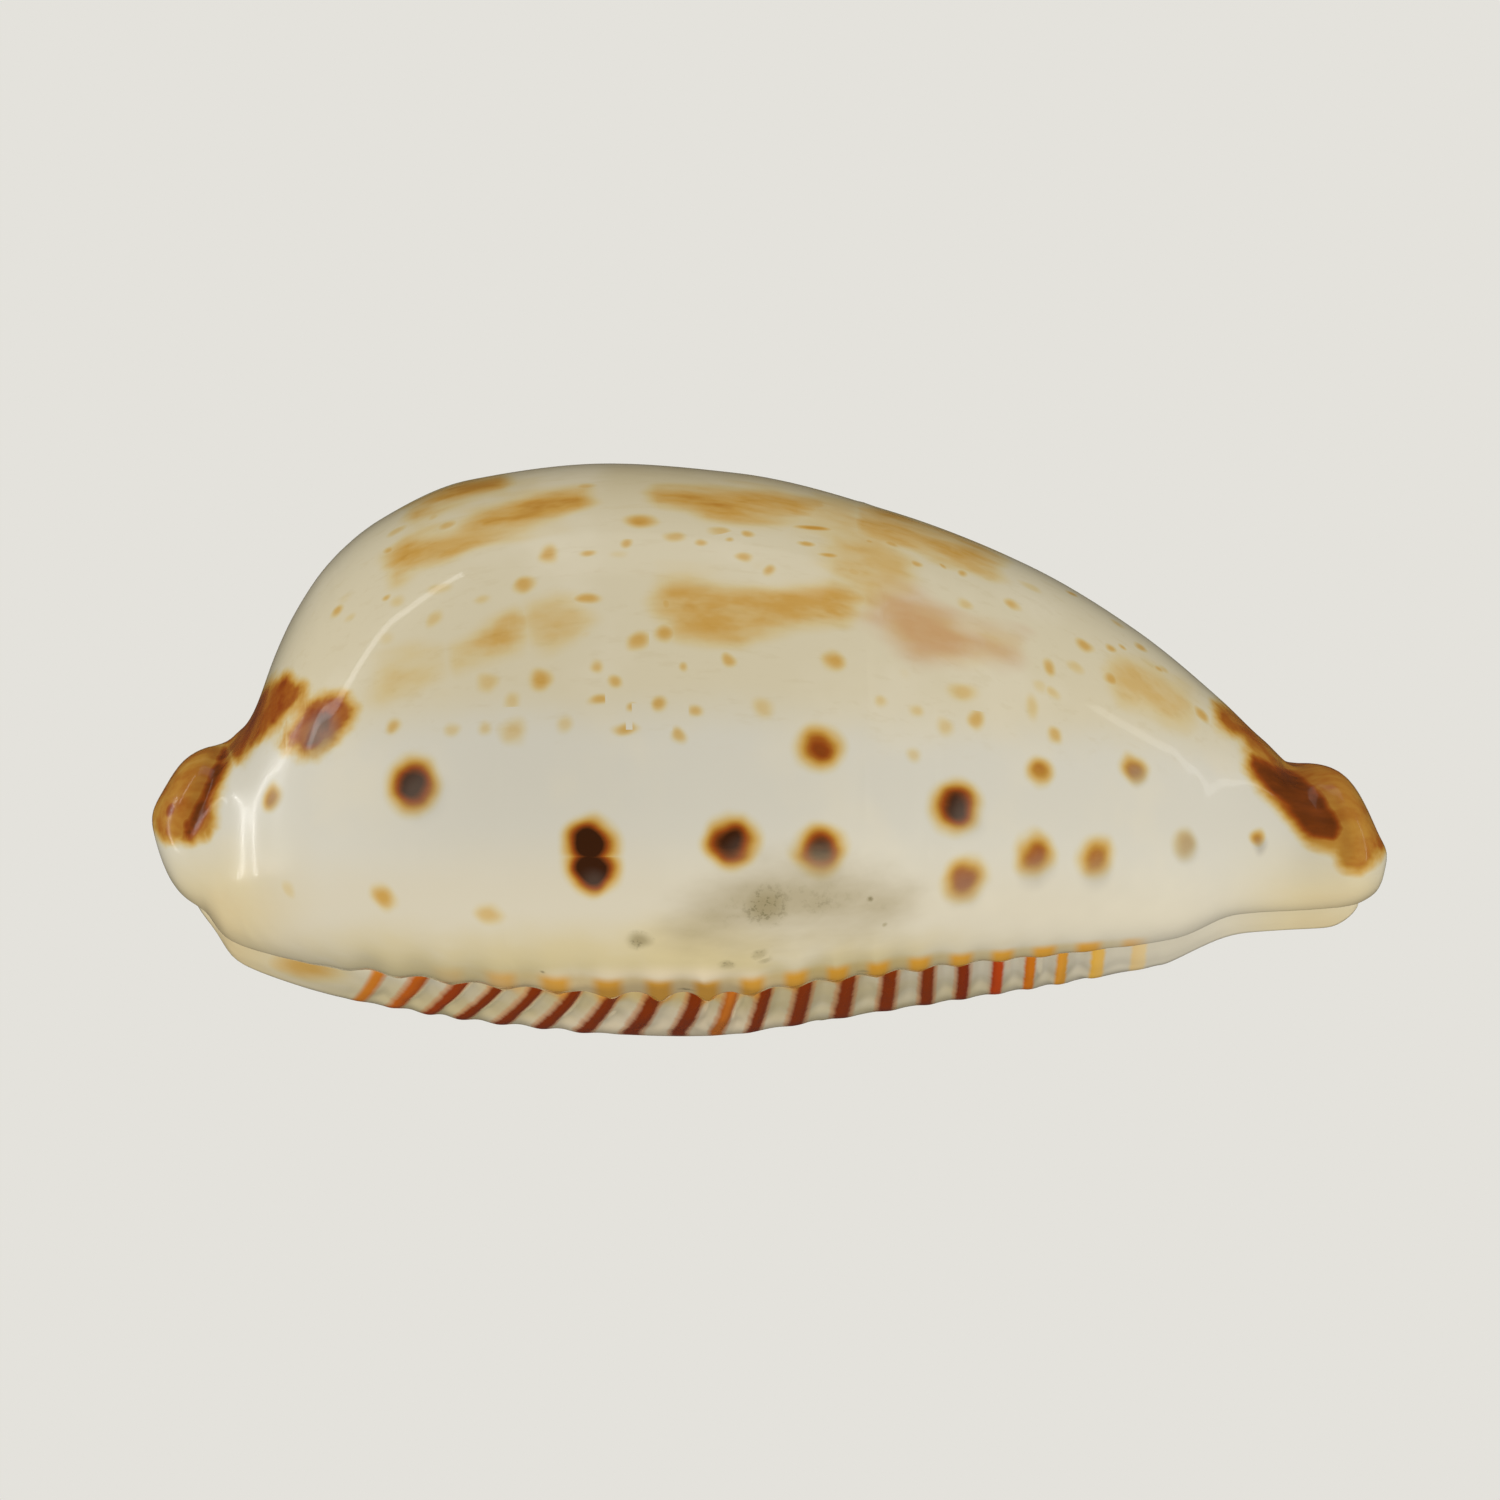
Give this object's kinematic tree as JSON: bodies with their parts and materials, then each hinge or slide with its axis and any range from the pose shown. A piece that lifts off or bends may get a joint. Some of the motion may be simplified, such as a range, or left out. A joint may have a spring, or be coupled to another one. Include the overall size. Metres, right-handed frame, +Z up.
{
  "type": "cowrie shell",
  "caption": "Glossy egg-shaped cowrie shell with a long narrow toothed mouth underneath, lobed canals at both ends and a small flat spot that it rests on.",
  "frame": {"origin": "centre of the shell's bounding box at the level that it rests on", "axes": "+X towards the front (canal) end along the shell's length, +Y towards the columella side, +Z up, mouth down"},
  "size_m": [0.0378, 0.023, 0.0171],
  "materials": {
    "porcelain": "polished porcelain-like enamel, cream white with dark brown marginal spots, soft orange-brown blotches above and red-brown stained teeth below"
  },
  "bodies": {
    "root": {"shell": "porcelain"}
  },
  "joints": []
}
